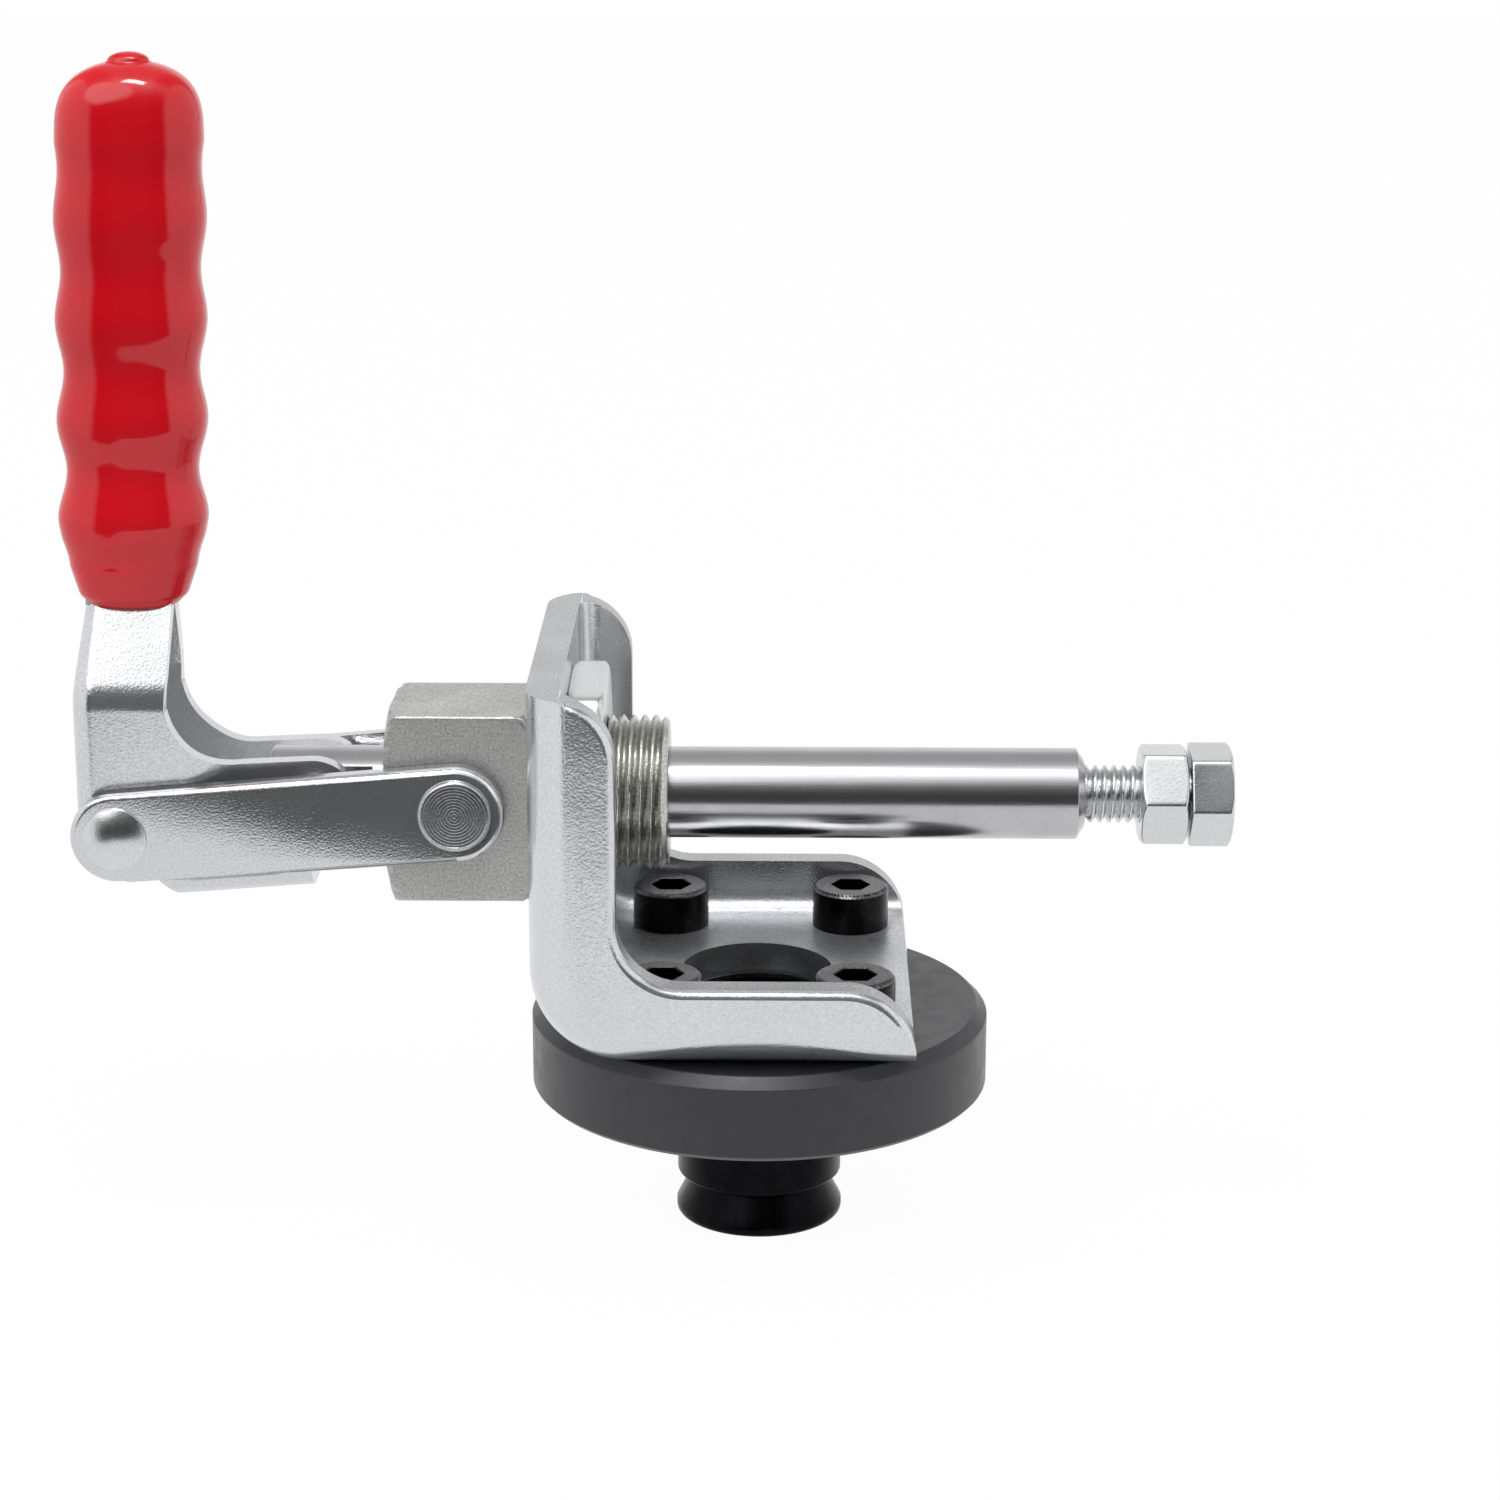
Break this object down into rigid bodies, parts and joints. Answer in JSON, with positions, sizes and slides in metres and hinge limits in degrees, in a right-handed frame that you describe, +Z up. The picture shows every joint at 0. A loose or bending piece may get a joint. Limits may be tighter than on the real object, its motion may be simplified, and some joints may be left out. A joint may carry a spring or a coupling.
{
  "type": "push-pull toggle clamp on a hole-table adapter",
  "caption": "Push-pull toggle clamp: hand lever and link drive a plunger with an adjustable bolt, on a flanged angle bracket over a round adapter with a spigot for a hole table.",
  "frame": {"origin": "spigot axis in the plane of the table, the underside of the adapter disc", "axes": "+Z up along the spigot axis, +X along the clamping direction from handle to bolt, +Y by the right-hand rule"},
  "size_m": [0.1906, 0.076, 0.1937],
  "materials": {
    "zinc_steel": "bright zinc plate",
    "matt_zinc_casting": "matt zinc plate",
    "ground_steel": "ground and polished",
    "black_steel": "black oxide, turned",
    "black_screw": "black oxide",
    "red_vinyl": "glossy dipped vinyl"
  },
  "bodies": {
    "base": {"base_disc": "black_steel", "table_spigot": "black_steel", "spigot_screw": "black_screw", "bracket": "zinc_steel", "base_screw_1": "black_screw", "base_screw_2": "black_screw", "base_screw_3": "black_screw", "base_screw_4": "black_screw", "clamp_body": "matt_zinc_casting", "nose_nut": "zinc_steel"},
    "plunger": {"plunger": "ground_steel"},
    "handle": {"handle_lever": "zinc_steel", "handle_grip": "red_vinyl", "cross_pin": "zinc_steel"},
    "link": {"link": "zinc_steel", "pivot_pin_front": "zinc_steel", "pivot_pin_rear": "zinc_steel", "elbow_rivet": "zinc_steel"},
    "bolt": {"clamping_bolt": "zinc_steel"},
    "jam_nut": {"jam_nut": "zinc_steel"}
  },
  "joints": [
    {"name": "plunger_slide", "type": "slide", "parent": "base", "child": "plunger", "axis": [-1, 0, 0], "range_m": [0, 0.0286]},
    {"name": "handle_pivot", "type": "hinge", "parent": "plunger", "child": "handle", "pos_m": [-0.07267, 0, 0.05], "axis": [0, -1, 0], "range_deg": [0, 94]},
    {"name": "link_pivot", "type": "hinge", "parent": "handle", "child": "link", "pos_m": [-0.10419, 0, 0.04575], "axis": [0, -1, 0], "range_deg": [-64.2, 0]},
    {"name": "bolt_slide", "type": "slide", "parent": "plunger", "child": "bolt", "axis": [1, 0, 0], "range_m": [-0.0073, 0.0227]},
    {"name": "nut_slide", "type": "slide", "parent": "bolt", "child": "jam_nut", "axis": [-1, 0, 0], "range_m": [0, 0.0017]}
  ],
  "couplings": [
    {"joint": "plunger_slide", "follows": "handle_pivot", "m_per_rad": 0.017368},
    {"joint": "link_pivot", "follows": "handle_pivot", "ratio": -0.68162}
  ]
}
